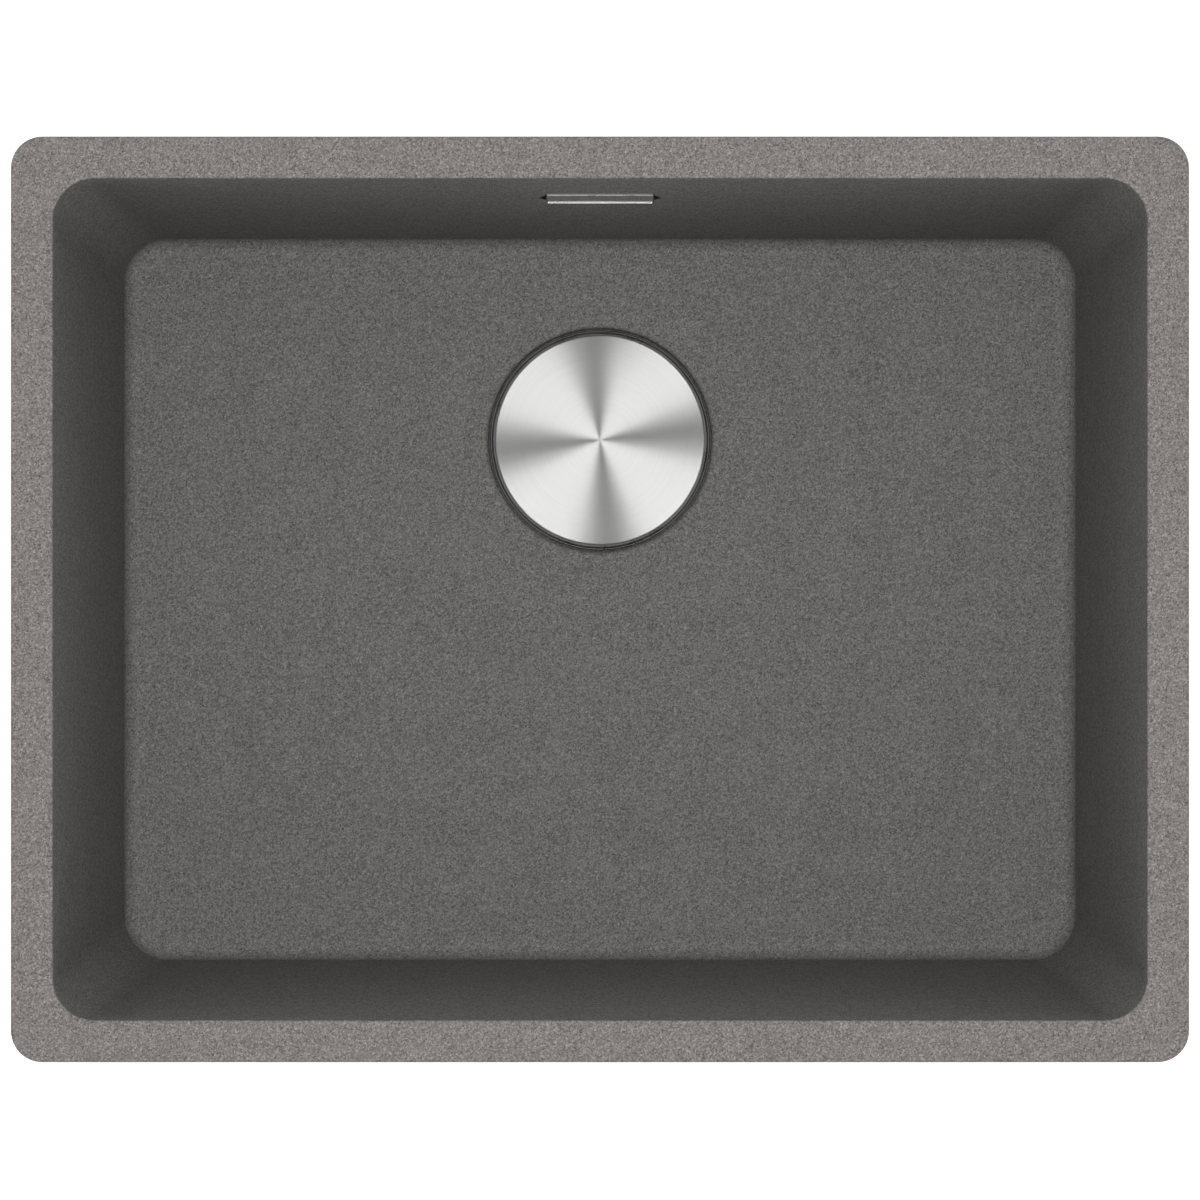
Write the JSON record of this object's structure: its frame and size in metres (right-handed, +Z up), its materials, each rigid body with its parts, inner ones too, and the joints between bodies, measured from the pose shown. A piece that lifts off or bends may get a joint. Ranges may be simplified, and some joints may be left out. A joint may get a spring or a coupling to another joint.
{
  "type": "undermount kitchen sink",
  "caption": "Undermount kitchen sink in speckled grey stone composite, with a round brushed-steel drain cover, a lift-out strainer basket and a rear-wall overflow.",
  "frame": {"origin": "middle of the bowl's mouth, in the plane of the rim's top face, which meets the underside of the worktop", "axes": "+X to the right and +Y to the rear wall for a person standing at the sink, +Z up"},
  "size_m": [0.56, 0.4482, 0.2881],
  "materials": {
    "stone_composite": "matte, finely speckled grey",
    "spun_brushed_steel": "brushed in circles",
    "pressed_steel": "satin",
    "dark_steel": "darkened, satin",
    "polished_steel": "polished",
    "brass": "turned",
    "black_rubber": "matte",
    "black_plastic": "fine grain",
    "white_plastic": "moulded",
    "hose_plastic": "ribbed, slightly glossy"
  },
  "bodies": {
    "sink": {"sink_bowl": "stone_composite", "cup_gasket": "black_rubber", "strainer_cup": "dark_steel", "body_gasket": "black_rubber", "waste_body": "white_plastic", "centre_screw": "polished_steel", "centre_nut": "brass", "overflow_screw_left": "polished_steel", "overflow_screw_right": "polished_steel", "overflow_plate": "polished_steel", "overflow_carrier": "black_plastic", "overflow_gasket": "black_rubber", "overflow_hood": "black_plastic", "overflow_hose": "hose_plastic", "hose_clip_upper": "pressed_steel", "hose_clip_lower": "pressed_steel"},
    "basket": {"basket": "pressed_steel", "basket_post": "black_plastic", "plug_seal": "black_rubber", "plug_nut": "brass"},
    "cover": {"cover_disc": "spun_brushed_steel", "cover_carrier": "black_plastic"}
  },
  "joints": [
    {"name": "basket_lift", "type": "slide", "parent": "sink", "child": "basket", "axis": [0, 0, 1], "range_m": [0, 0.25]},
    {"name": "cover_lift", "type": "slide", "parent": "basket", "child": "cover", "axis": [0, 0, 1], "range_m": [0, 0.21]}
  ]
}
